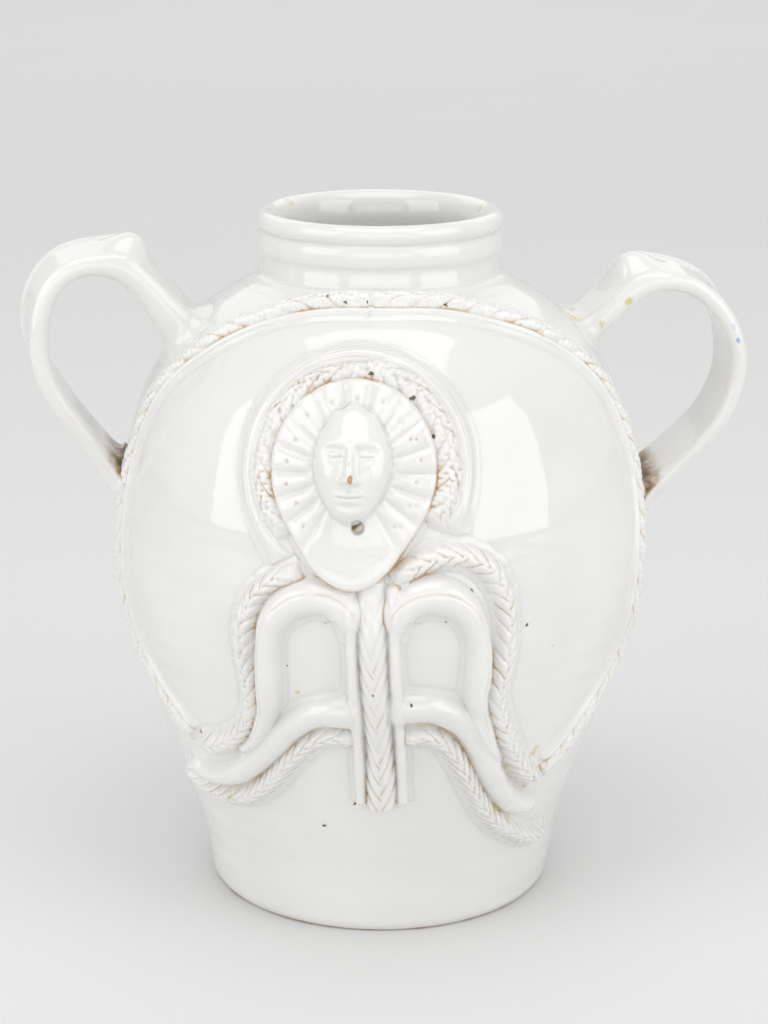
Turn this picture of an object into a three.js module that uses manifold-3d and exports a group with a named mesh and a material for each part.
// A white glazed jar with two strap handles and rope-work relief laid on its front.
// Millimetres, +Z up. The jar's axis is Z, its base stands on Z = 0 and its relief faces -Y.
// A place on the wall is [azimuth, height]: degrees from the front, positive to +X, and millimetres up.

import * as THREE from 'three';
import { mergeVertices } from 'three/addons/utils/BufferGeometryUtils.js';
import Module from 'manifold-3d';

const wasm = await Module();
wasm.setup();

// Driving dimensions of the thrown jar
const JAR_HEIGHT = 280;
const SHOULDER_TOP = 254;
const NECK_ROOT_RADIUS = 50;
const MOUTH_RADIUS = 40;
const WALL_THICKNESS = 7;
const FLOOR_THICKNESS = 10;
const FLOOR_CORNER = [6, 3];
const FOOT_BEVEL = 2.5;
const LUTING_GAP = 0.3;

// Outer wall of the jar, from the foot to the root of the neck: [height, radius]
const WALL = [
  [0, 71.3], [30, 76.8], [80, 94.2], [120, 106], [145, 108.5], [180, 104.6], [212, 94.3],
  [233, 79.5], [243.5, 67.8], [SHOULDER_TOP, NECK_ROOT_RADIUS],
];

// Collar, ridge, groove, rolled rim and mouth of the neck: [radius, height]
const NECK = [
  [48.7, 256.8], [48.3, 263.3], [49.5, 265.3], [49.7, 269], [48.9, 271.5], [48.1, 272.5], [49.3, 273.7],
  [50, 276], [48.7, 278.7], [46.8, JAR_HEIGHT], [44, 279.2], [41.8, 277], [40.5, 274], [MOUTH_RADIUS, 269],
];

// Relief coils: half width and height above the wall
const ROPE = { halfWidth: 4.2, height: 3.6 };
const BEAD = { halfWidth: 1.6, height: 2.1 };
const HOOD = { halfWidth: 2.6, height: 3.8 };
const HAIR_LEFT = { halfWidth: 3.4, height: 5.2 };
const HAIR_RIGHT = { halfWidth: 4.1, height: 5.6 };
const COLUMN = { halfWidth: 6.2, height: 7.2 };
const FILLET = { halfWidth: 2.3, height: 5.6 };
const ARCH = { halfWidth: 5.2, height: 8.8 };
const SWEEP = { halfWidth: 5, height: 7 };
const ARCH_BRAID_LEFT = { halfWidth: 3.8, height: 5.5 };
const ARCH_BRAID_RIGHT = { halfWidth: 4.3, height: 6 };
const SWEEP_BRAID = { halfWidth: 3.9, height: 5.5 };

// Medallion: a disc drawn down to a blunt tip, and the turns between which hair and hood go round it
const MEDALLION = {
  azimuth: -5.5, height: 198, radius: 31, tip: 11.5, tipSharpness: 7, rimHeight: 3, crownHeight: 7,
};
const HAIR_LEFT_TURN = [85, 228];
const HAIR_RIGHT_TURN = [84, -38];
const HOOD_TURN = [232, -30];

// Mask on the medallion: an egg with a plain nose, brow and chin, placed in shares of its half size
const MASK = { halfWidth: 13, halfHeight: 19, rise: 2, edge: 1, depth: 6 };
const NOSE = { height: 3, wide: 0.2, place: -0.08, tall: 0.24 };
const BROW = { height: 0.8, wide: 0.7, place: 0.28, tall: 0.12 };
const CHIN = { height: 1.2, wide: 0.3, place: -0.75, tall: 0.16 };

// Routes of the coils along the wall
const BORDER_LEFT_ROUTE = [
  [-3.6, 251.9], [-14, 251.7], [-25, 250.6], [-38, 247.3], [-49, 242], [-58, 234], [-65, 224],
  [-69.5, 210.5], [-72, 192], [-72.5, 172], [-72, 152], [-70, 130], [-66.5, 109], [-60, 93], [-52, 80],
];
const BORDER_RIGHT_ROUTE = [
  [-3.1, 251.9], [8, 251.9], [24, 250.9], [41, 246.6], [55, 240], [65, 230.5], [71, 218], [74, 202],
  [75, 185], [74.3, 167], [72.2, 149], [70, 130], [67.5, 112], [63, 96], [56, 82], [45.5, 66],
];
const COLUMN_ROUTE = [[-1.6, 156], [-1, 120], [0, 90], [0.6, 61]];
const ARCH_LEFT_ROUTE = [
  [-26, 97], [-24, 106], [-23.2, 117], [-22.7, 130], [-21, 143], [-17.5, 149.8], [-13.4, 152.6],
  [-9.2, 151.8], [-6.5, 147.8], [-5.5, 138],
];
const ARCH_RIGHT_ROUTE = [
  [3, 138], [3.8, 147.8], [6.6, 152.2], [11, 153.6], [14.8, 150.8], [18, 144.3], [19.8, 134], [20.2, 122],
  [20.2, 110], [21.8, 100],
];
const SWEEP_LEFT_ROUTE = [
  [-4, 107], [-13, 105.5], [-19.7, 97.5], [-25.3, 87], [-31.5, 77.5], [-39.8, 69], [-47.5, 66], [-53.5, 68],
];
const SWEEP_RIGHT_ROUTE = [
  [2, 109], [11.5, 108], [17.3, 101.5], [22, 90], [26.2, 78], [30.6, 67], [36, 58], [43.5, 54],
];
const ARCH_BRAID_LEFT_ROUTE = [
  [-16.5, 161], [-21.2, 157.2], [-25.3, 149.5], [-27.4, 140], [-28, 130], [-27.9, 120], [-27.7, 109],
  [-29.2, 99], [-33, 90.5], [-38.8, 83.5], [-46.5, 80],
];
const ARCH_BRAID_RIGHT_ROUTE = [
  [3.5, 160.5], [8.5, 166], [13.5, 168], [17.8, 166.7], [21.6, 162], [24.3, 154], [25.6, 145], [25.9, 134],
  [25.5, 122], [25, 109], [28, 95], [31.8, 83], [36.3, 73], [43, 64.5],
];
const SWEEP_BRAID_LEFT_ROUTE = [
  [-5, 95], [-11.4, 94.5], [-16.3, 90], [-21.5, 81], [-27.8, 69.5], [-34.8, 60.5], [-42.2, 56.5],
  [-50.3, 55.5], [-57, 57], [-62, 60.5],
];
const SWEEP_BRAID_RIGHT_ROUTE = [
  [4.8, 95.6], [9.4, 96], [13.6, 92.5], [17.3, 85], [21, 74.5], [25, 63.5], [30.7, 52], [38.5, 42],
  [47.5, 35], [57, 31],
];

// Strap handles: the middle line from shoulder root to belly root, as [distance from the axis, height],
// and the strap's twist in degrees at shares of its length
const STRAP = {
  width: 26, thinning: 0.12, thinningRun: [0.35, 0.75], channel: 1, rootSpread: 0.3, upperReach: 0.4,
  lowerReach: 0.22, lowerSwell: 0.6,
};
const HANDLE_LEFT = {
  azimuth: -80,
  thickness: 9.4,
  twist: [[0, 0], [0.25, -11], [0.5, -11], [0.72, 5], [1, 6]],
  upperSwell: 2,
  route: [
    [69, 221], [86, 244.4], [94, 254.6], [103, 261.3], [114, 263.5], [124.5, 261], [132.4, 253.4],
    [136.3, 243], [136.9, 232], [134, 219], [127.5, 206.7], [119.5, 195.3], [112.3, 185.1], [106.5, 176.8],
    [98, 165.8],
  ],
  thumbRest: [99, 268],
};
const HANDLE_RIGHT = {
  azimuth: 97,
  thickness: 8.2,
  twist: [[0, 0], [0.25, -13], [0.4, -9], [0.6, 7], [0.8, 12], [1, 8]],
  upperSwell: 1,
  route: [
    [70, 218], [88, 236], [96, 243.6], [105, 249.2], [114, 250.9], [124.2, 249], [132.8, 243.8],
    [139.2, 235.6], [143.4, 225], [144.7, 214], [142.5, 203], [137, 191.7], [129.2, 182.5], [120.7, 174.6],
    [113, 167.6], [101, 157.8],
  ],
  thumbRest: [102, 256],
};
const THUMB_REST_RISE = 9.6;
const THUMB_REST_SPREAD = 9;

// How finely the round forms are divided
const TURN_SEGMENTS = 60;
const WALL_STEPS = 19;
const WALL_FIRST_STEP = 12;
const COIL_STEP = 8.5;
const SECTION_SIDES = 6;
const RING_KNOTS = 12;
const DISC_SPOKES = 36;
const DISC_RINGS = 5;
const MASK_SPOKES = 24;

const DEGREE = Math.PI / 180;
const ARC_PER_DEGREE = 100 * DEGREE;

const WHITE_GLAZE = { color: 0xe9e7e3, roughness: 0.18, metalness: 0 };
const THIN_GLAZE = { color: 0xe4dcd3, roughness: 0.24, metalness: 0 };

// Heights at which the wall is divided, closer together towards the shoulder
const WALL_HEIGHTS = Array.from({ length: WALL_STEPS + 1 }, (_, i) => {
  const left = 1 - i / WALL_STEPS;
  return SHOULDER_TOP - (SHOULDER_TOP - WALL_FIRST_STEP) * left ** 1.3;
});

// Radius of the outer wall at a height, smooth through the WALL points
function wallRadius(height) {
  const last = WALL.length - 1;
  let index = 0;
  while (index < last - 1 && height > WALL[index + 1][0]) index += 1;
  const slopeAt = (i) => {
    const [lowHeight, lowRadius] = WALL[Math.max(i - 1, 0)];
    const [highHeight, highRadius] = WALL[Math.min(i + 1, last)];
    return (highRadius - lowRadius) / (highHeight - lowHeight);
  };
  const [startHeight, startRadius] = WALL[index];
  const [endHeight, endRadius] = WALL[index + 1];
  const span = endHeight - startHeight;
  const t = (height - startHeight) / span;
  const startPull = span * slopeAt(index) * t * (1 - t) ** 2;
  const endPull = span * slopeAt(index + 1) * t * t * (1 - t);
  const blend = t * t * (3 - 2 * t);
  return startRadius + (endRadius - startRadius) * blend + startPull - endPull;
}

// Outward normal of the wall's outline at a height, as [radial, vertical]
function wallNormal(height) {
  const reach = 0.5;
  const slope = (wallRadius(height + reach) - wallRadius(height - reach)) / (2 * reach);
  const length = Math.hypot(1, slope);
  return [1 / length, -slope / length];
}

// Point above the wall at a place, lifted along the wall's normal
function onWall(azimuth, height, lift) {
  const [radial, vertical] = wallNormal(height);
  const radius = wallRadius(height) + radial * lift;
  const angle = azimuth * DEGREE;
  return new THREE.Vector3(radius * Math.sin(angle), -radius * Math.cos(angle), height + vertical * lift);
}

// The wall place level with a point, lifted
function settleOnWall(point, lift) {
  const azimuth = Math.atan2(point.x, -point.y) / DEGREE;
  return onWall(azimuth, point.z, lift);
}

// Closed geometry from points and triangles, with its faces turned outward
function closedGeometry(points, triangles) {
  const geometry = new THREE.BufferGeometry().setFromPoints(points);
  let volume = 0;
  for (const [a, b, c] of triangles) {
    volume += points[a].dot(new THREE.Vector3().crossVectors(points[b], points[c]));
  }
  const outward = volume < 0 ? triangles.map(([a, b, c]) => [a, c, b]) : triangles;
  geometry.setIndex(outward.flat());
  return geometry;
}

// Solid through a row of sections that have the same number of points
function loft(sections) {
  const sides = sections[0].length;
  const triangles = [];
  for (let i = 0; i < sections.length - 1; i += 1) {
    for (let j = 0; j < sides; j += 1) {
      const a = i * sides + j;
      const b = i * sides + (j + 1) % sides;
      triangles.push([a, b, b + sides], [a, b + sides, a + sides]);
    }
  }
  const endStart = (sections.length - 1) * sides;
  for (let j = 1; j < sides - 1; j += 1) {
    triangles.push([0, j + 1, j], [endStart, endStart + j, endStart + j + 1]);
  }
  return closedGeometry(sections.flat(), triangles);
}

// Solid turned about the jar's axis from an outline of [radius, height] points
function turned(outline) {
  const profile = outline.map(([radius, height]) => new THREE.Vector2(radius, height));
  const geometry = new THREE.LatheGeometry(profile, TURN_SEGMENTS);
  geometry.rotateX(Math.PI / 2);
  return geometry;
}

// Solid of a geometry for cutting, with shared corners merged and empty triangles dropped
function solidOf(geometry) {
  const bare = new THREE.BufferGeometry();
  bare.setAttribute('position', geometry.getAttribute('position'));
  bare.setIndex(geometry.getIndex());
  const merged = mergeVertices(bare, 1e-3);
  const index = merged.getIndex().array;
  const corners = [];
  for (let i = 0; i < index.length; i += 3) {
    const [a, b, c] = [index[i], index[i + 1], index[i + 2]];
    if (a !== b && b !== c && c !== a) corners.push(a, b, c);
  }
  const mesh = new wasm.Mesh({
    numProp: 3,
    vertProperties: new Float32Array(merged.getAttribute('position').array),
    triVerts: new Uint32Array(corners),
  });
  return new wasm.Manifold(mesh);
}

// A geometry with other geometries cut away from it
function cutAway(geometry, cutters) {
  let solid = solidOf(geometry);
  for (const cutter of cutters) solid = solid.subtract(solidOf(cutter));
  const mesh = solid.getMesh();
  const result = new THREE.BufferGeometry();
  result.setAttribute('position', new THREE.BufferAttribute(new Float32Array(mesh.vertProperties), 3));
  result.setIndex(new THREE.BufferAttribute(new Uint32Array(mesh.triVerts), 1));
  return result;
}

// Even places along a smooth route on the wall
function placesAlong(route) {
  const knots = route.map(([azimuth, height]) => new THREE.Vector3(azimuth * ARC_PER_DEGREE, height, 0));
  const curve = new THREE.CatmullRomCurve3(knots, false, 'centripetal');
  const count = Math.max(4, Math.round(curve.getLength() / COIL_STEP));
  return curve.getSpacedPoints(count).map((point) => [point.x / ARC_PER_DEGREE, point.y]);
}

// Wall point and sideways direction at one of a route's places
function wallFrame(places, i) {
  const before = onWall(...places[Math.max(i - 1, 0)], 0);
  const after = onWall(...places[Math.min(i + 1, places.length - 1)], 0);
  const centre = onWall(...places[i], 0);
  const along = after.sub(before).normalize();
  const normal = onWall(...places[i], 1).sub(centre);
  const side = new THREE.Vector3().crossVectors(normal, along).normalize();
  return { centre, side };
}

// Route set off sideways along the wall, to the left of its run when the distance is positive
function besideRoute(route, distance) {
  return placesAlong(route).map((place, i, places) => {
    const { centre, side } = wallFrame(places, i);
    const beside = centre.addScaledVector(side, distance);
    return [Math.atan2(beside.x, -beside.y) / DEGREE, beside.z];
  });
}

// Section of a coil: a full arch over a base, as [sideways share, height share]
const COIL_SECTION = [[0, 0]];
for (let i = 0; i <= SECTION_SIDES; i += 1) {
  const turn = (Math.PI * i) / SECTION_SIDES;
  const onBase = i === 0 || i === SECTION_SIDES;
  COIL_SECTION.push([-Math.cos(turn), onBase ? 0 : Math.sin(turn) ** 0.7]);
}

// Coil of clay laid along a route, its back following the wall; a grown coil is the room that it needs
function coil(route, { halfWidth, height }, grow = 0) {
  const places = placesAlong(route);
  const base = grow > 0 ? -1 : LUTING_GAP;
  const sections = places.map((place, i) => {
    const { centre, side } = wallFrame(places, i);
    return COIL_SECTION.map(([across, up]) => {
      const foot = centre.clone().addScaledVector(side, across * (halfWidth + grow));
      return settleOnWall(foot, up > 0 ? LUTING_GAP + grow + up * height : base);
    });
  });
  return loft(sections);
}

// Distance from the medallion's middle to its edge at a turn in degrees, 0 to +X and 90 up
function medallionReach(turn) {
  const downward = Math.max(0, -Math.sin(turn * DEGREE));
  return MEDALLION.radius + MEDALLION.tip * downward ** MEDALLION.tipSharpness;
}

// Wall place at a distance across and up from the medallion's middle
function medallionPlace(across, up) {
  const height = MEDALLION.height + up;
  return [MEDALLION.azimuth + across / wallRadius(height) / DEGREE, height];
}

// Wall place at a turn round the medallion's middle
function medallionPolar(reach, turn) {
  return medallionPlace(reach * Math.cos(turn * DEGREE), reach * Math.sin(turn * DEGREE));
}

// Route round the medallion, outside its edge by a distance, between two turns
function ringRoute([startTurn, endTurn], distance) {
  const edge = Array.from({ length: RING_KNOTS + 1 }, (_, i) => {
    const turn = startTurn + ((endTurn - startTurn) * i) / RING_KNOTS;
    return medallionPolar(medallionReach(turn), turn);
  });
  return besideRoute(edge, Math.sign(startTurn - endTurn) * distance);
}

// Height of the medallion's face above the wall at a share of the way to its edge
function medallionHeight(share) {
  const { rimHeight, crownHeight } = MEDALLION;
  return LUTING_GAP + rimHeight + (crownHeight - rimHeight) * (1 - share ** 2);
}

// Domed solid over a patch of the medallion: rings of points on a back and on a face
function domed(spokes, rings, placeAt, backAt, faceAt) {
  const points = [];
  const layerStart = [];
  for (const liftAt of [backAt, faceAt]) {
    layerStart.push(points.length);
    points.push(onWall(...placeAt(0, 0), liftAt(0, 0)));
    for (let ring = 1; ring <= rings; ring += 1) {
      for (let spoke = 0; spoke < spokes; spoke += 1) {
        const turn = (360 * spoke) / spokes;
        const share = ring / rings;
        points.push(onWall(...placeAt(share, turn), liftAt(share, turn)));
      }
    }
  }
  const at = (layer, ring, spoke) => layerStart[layer] + 1 + (ring - 1) * spokes + (spoke % spokes);
  const triangles = [];
  const addQuad = (a, b, c, d) => triangles.push([a, b, c], [a, c, d]);
  for (let spoke = 0; spoke < spokes; spoke += 1) {
    const next = spoke + 1;
    triangles.push([layerStart[0], at(0, 1, next), at(0, 1, spoke)]);
    triangles.push([layerStart[1], at(1, 1, spoke), at(1, 1, next)]);
    for (let ring = 1; ring < rings; ring += 1) {
      const outer = ring + 1;
      addQuad(at(0, ring, spoke), at(0, ring, next), at(0, outer, next), at(0, outer, spoke));
      addQuad(at(1, ring, spoke), at(1, outer, spoke), at(1, outer, next), at(1, ring, next));
    }
    addQuad(at(0, rings, spoke), at(0, rings, next), at(1, rings, next), at(1, rings, spoke));
  }
  return closedGeometry(points, triangles);
}

// Thrown body: foot, wall and shoulder, open at the top under the neck
function vesselBody() {
  const outer = WALL_HEIGHTS.map((height) => [wallRadius(height), height]);
  const inner = WALL_HEIGHTS.slice(1, -1).reverse().map((height) => {
    const [radial, vertical] = wallNormal(height);
    return [wallRadius(height) - radial * WALL_THICKNESS, height - vertical * WALL_THICKNESS];
  });
  const floorRadius = wallRadius(WALL_FIRST_STEP) - WALL_THICKNESS;
  const [cornerReach, cornerRise] = FLOOR_CORNER;
  return turned([
    [0, 0], [WALL[0][1] - FOOT_BEVEL, 0], [wallRadius(FOOT_BEVEL), FOOT_BEVEL],
    ...outer,
    [MOUTH_RADIUS, SHOULDER_TOP], [MOUTH_RADIUS + 1, SHOULDER_TOP - WALL_THICKNESS],
    ...inner,
    [floorRadius, FLOOR_THICKNESS + cornerRise], [floorRadius - cornerReach, FLOOR_THICKNESS],
    [0, FLOOR_THICKNESS],
  ]);
}

// Neck: a thrown ring with a ridge and a rolled rim, luted on the shoulder
function neckRing() {
  const seat = SHOULDER_TOP + LUTING_GAP;
  const start = [NECK_ROOT_RADIUS, seat];
  return turned([start, ...NECK, [MOUTH_RADIUS, seat], start]);
}

// Section of a strap: rounded edges front and back, a shallow channel along its outer face
function strapSection(width, thickness) {
  const round = thickness / 2;
  const flat = width / 2 - round;
  const edge = [-60, 0, 60].map((turn) => {
    return [flat + round * Math.cos(turn * DEGREE), round * Math.sin(turn * DEGREE)];
  });
  const back = [...edge].reverse().map(([across, out]) => [-across, out]);
  return [
    [flat, -round], ...edge, [flat, round], [0, round - STRAP.channel], [-flat, round], ...back,
    [-flat, -round], [0, -round],
  ];
}

// Value that eases from stop to stop, each a [place, value]
function eased(place, stops) {
  let index = 0;
  while (index < stops.length - 2 && place > stops[index + 1][0]) index += 1;
  const [start, from] = stops[index];
  const [end, to] = stops[index + 1];
  return from + (to - from) * THREE.MathUtils.smoothstep(place, start, end);
}

// Pulled strap handle, its roots cut to the wall's curve
function strapHandle({ azimuth, thickness, twist, upperSwell, route, thumbRest }, laidAgainst) {
  const angle = azimuth * DEGREE;
  const handed = Math.sign(azimuth);
  const outward = new THREE.Vector3(Math.sin(angle), -Math.cos(angle), 0);
  const up = new THREE.Vector3(0, 0, 1);
  const forward = new THREE.Vector3().crossVectors(outward, up).multiplyScalar(-handed);
  const placeAt = ([distance, height]) => {
    return outward.clone().multiplyScalar(distance).addScaledVector(up, height);
  };
  const curve = new THREE.CatmullRomCurve3(route.map(placeAt), false, 'centripetal');
  const count = Math.round(curve.getLength() / COIL_STEP);
  const rest = placeAt(thumbRest);
  const sections = Array.from({ length: count + 1 }, (_, i) => {
    const share = i / count;
    const middle = curve.getPointAt(share);
    const along = curve.getTangentAt(share);
    const facing = new THREE.Vector3().crossVectors(along, forward).multiplyScalar(handed);
    const turn = eased(share, twist) * DEGREE;
    const across = forward.clone().multiplyScalar(Math.cos(turn)).addScaledVector(facing, -Math.sin(turn));
    const out = facing.clone().multiplyScalar(Math.cos(turn)).addScaledVector(forward, Math.sin(turn));
    const nearUpper = Math.max(0, 1 - share / STRAP.upperReach) ** 2;
    const nearLower = Math.max(0, 1 - (1 - share) / STRAP.lowerReach) ** 2;
    const width = STRAP.width * (1 + STRAP.rootSpread * (nearUpper + nearLower));
    const swell = upperSwell * nearUpper + STRAP.lowerSwell * nearLower;
    const thinning = STRAP.thinning * THREE.MathUtils.smoothstep(share, ...STRAP.thinningRun);
    const section = strapSection(width, thickness * (1 + swell - thinning));
    return section.map(([sideways, outOfMiddle]) => {
      const point = middle.clone().addScaledVector(across, sideways).addScaledVector(out, outOfMiddle);
      const near = Math.exp(-((point.distanceTo(rest) / THUMB_REST_SPREAD) ** 2));
      return outOfMiddle > 0 ? point.addScaledVector(out, THUMB_REST_RISE * near) : point;
    });
  });
  return cutAway(loft(sections), [wallRoom(), ...laidAgainst.map(roomOf)]);
}

// Room that the jar's wall needs, solid right through
function wallRoom() {
  const outline = WALL_HEIGHTS.map((height) => [wallRadius(height) + 1.5 * LUTING_GAP, height]);
  return turned([[0, WALL_FIRST_STEP], ...outline, [0, SHOULDER_TOP]]);
}

// Medallion disc, domed towards its middle; a grown disc is the room that it needs
function medallionDisc(grow = 0) {
  const back = grow > 0 ? -1 : LUTING_GAP;
  const placeAt = (share, turn) => medallionPolar(share * (medallionReach(turn) + grow), turn);
  return domed(DISC_SPOKES, DISC_RINGS, placeAt, () => back, (share) => medallionHeight(share) + grow);
}

// Soft bump on the mask at a place in shares of its half size
function maskBump({ height, wide, place, tall }, across, up) {
  return height * Math.exp(-((across / wide) ** 2) - ((up - place) / tall) ** 2);
}

// Moulded mask on the disc: a plain face whose features divide it in even thirds
function faceMask() {
  const offsets = (share, turn) => {
    const across = share * MASK.halfWidth * Math.cos(turn * DEGREE);
    const up = share * MASK.halfHeight * Math.sin(turn * DEGREE) + MASK.rise;
    return [across, up];
  };
  const backAt = (share, turn) => {
    const [across, up] = offsets(share, turn);
    const reach = medallionReach(Math.atan2(up, across) / DEGREE);
    return medallionHeight(Math.hypot(across, up) / reach) + LUTING_GAP;
  };
  const faceAt = (share, turn) => {
    const across = share * Math.cos(turn * DEGREE);
    const up = share * Math.sin(turn * DEGREE);
    const dome = MASK.edge + MASK.depth * Math.sqrt(Math.max(0, 1 - share ** 2));
    const features = [NOSE, BROW, CHIN].map((feature) => maskBump(feature, across, up));
    return features.reduce((sum, height) => sum + height, backAt(share, turn) + dome);
  };
  const placeAt = (share, turn) => medallionPlace(...offsets(share, turn));
  return domed(MASK_SPOKES, DISC_RINGS, placeAt, backAt, faceAt);
}

// Every coil: its route and its size
const besideDisc = (size) => LUTING_GAP + size.halfWidth;
const besideHair = 2 * besideDisc(HAIR_RIGHT) + besideDisc(HOOD);
const besideColumn = COLUMN.halfWidth + LUTING_GAP + FILLET.halfWidth;
const besideRope = ROPE.halfWidth + LUTING_GAP + BEAD.halfWidth;
const COILS = {
  border_rope_left: [BORDER_LEFT_ROUTE, ROPE],
  border_rope_right: [BORDER_RIGHT_ROUTE, ROPE],
  border_bead_left: [besideRoute(BORDER_LEFT_ROUTE, besideRope), BEAD],
  border_bead_right: [besideRoute(BORDER_RIGHT_ROUTE, -besideRope), BEAD],
  hood_ridge: [ringRoute(HOOD_TURN, besideHair), HOOD],
  hair_braid_left: [ringRoute(HAIR_LEFT_TURN, besideDisc(HAIR_LEFT)), HAIR_LEFT],
  hair_braid_right: [ringRoute(HAIR_RIGHT_TURN, besideDisc(HAIR_RIGHT)), HAIR_RIGHT],
  column_braid: [COLUMN_ROUTE, COLUMN],
  column_fillet_left: [besideRoute(COLUMN_ROUTE, -besideColumn), FILLET],
  column_fillet_right: [besideRoute(COLUMN_ROUTE, besideColumn), FILLET],
  arch_left: [ARCH_LEFT_ROUTE, ARCH],
  arch_right: [ARCH_RIGHT_ROUTE, ARCH],
  arch_braid_left: [ARCH_BRAID_LEFT_ROUTE, ARCH_BRAID_LEFT],
  arch_braid_right: [ARCH_BRAID_RIGHT_ROUTE, ARCH_BRAID_RIGHT],
  sweep_left: [SWEEP_LEFT_ROUTE, SWEEP],
  sweep_right: [SWEEP_RIGHT_ROUTE, SWEEP],
  sweep_braid_left: [SWEEP_BRAID_LEFT_ROUTE, SWEEP_BRAID],
  sweep_braid_right: [SWEEP_BRAID_RIGHT_ROUTE, SWEEP_BRAID],
};

// Where coils meet, the one laid later butts against the earlier ones named here
const LAID_AGAINST = {
  column_braid: ['medallion_disc'],
  column_fillet_left: ['medallion_disc', 'column_braid'],
  column_fillet_right: ['medallion_disc', 'column_braid'],
  sweep_left: ['column_braid', 'column_fillet_left'],
  sweep_right: ['column_braid', 'column_fillet_right'],
  arch_left: ['medallion_disc', 'column_braid', 'column_fillet_left', 'sweep_left'],
  arch_right: ['medallion_disc', 'column_braid', 'column_fillet_right', 'sweep_right'],
  arch_braid_left: [
    'medallion_disc', 'arch_left', 'hood_ridge', 'hair_braid_left', 'sweep_left', 'border_rope_left',
  ],
  arch_braid_right: [
    'medallion_disc', 'arch_right', 'hood_ridge', 'hair_braid_right', 'sweep_right', 'border_rope_right',
  ],
  border_bead_left: ['arch_braid_left', 'sweep_left'],
  border_bead_right: ['arch_braid_right', 'sweep_right'],
  sweep_braid_left: ['sweep_left', 'column_fillet_left', 'column_braid'],
  sweep_braid_right: ['sweep_right', 'column_fillet_right', 'column_braid'],
};

// Room that a piece of the relief needs, to cut its neighbours with
function roomOf(name) {
  return name === 'medallion_disc' ? medallionDisc(LUTING_GAP) : coil(...COILS[name], LUTING_GAP);
}

const jar = new THREE.Group();

function addPiece(name, geometry, glaze) {
  const piece = new THREE.Mesh(geometry, new THREE.MeshStandardMaterial(glaze));
  piece.name = name;
  jar.add(piece);
}

addPiece('vessel_body', vesselBody(), WHITE_GLAZE);
addPiece('neck_ring', neckRing(), WHITE_GLAZE);
addPiece('handle_left', strapHandle(HANDLE_LEFT, ['border_rope_left']), WHITE_GLAZE);
addPiece('handle_right', strapHandle(HANDLE_RIGHT, ['border_rope_right']), WHITE_GLAZE);
addPiece('medallion_disc', medallionDisc(), THIN_GLAZE);
addPiece('face_mask', faceMask(), WHITE_GLAZE);
for (const [name, [route, size]] of Object.entries(COILS)) {
  const plain = coil(route, size);
  const neighbours = LAID_AGAINST[name] ?? [];
  addPiece(name, neighbours.length ? cutAway(plain, neighbours.map(roomOf)) : plain, THIN_GLAZE);
}

export default jar;
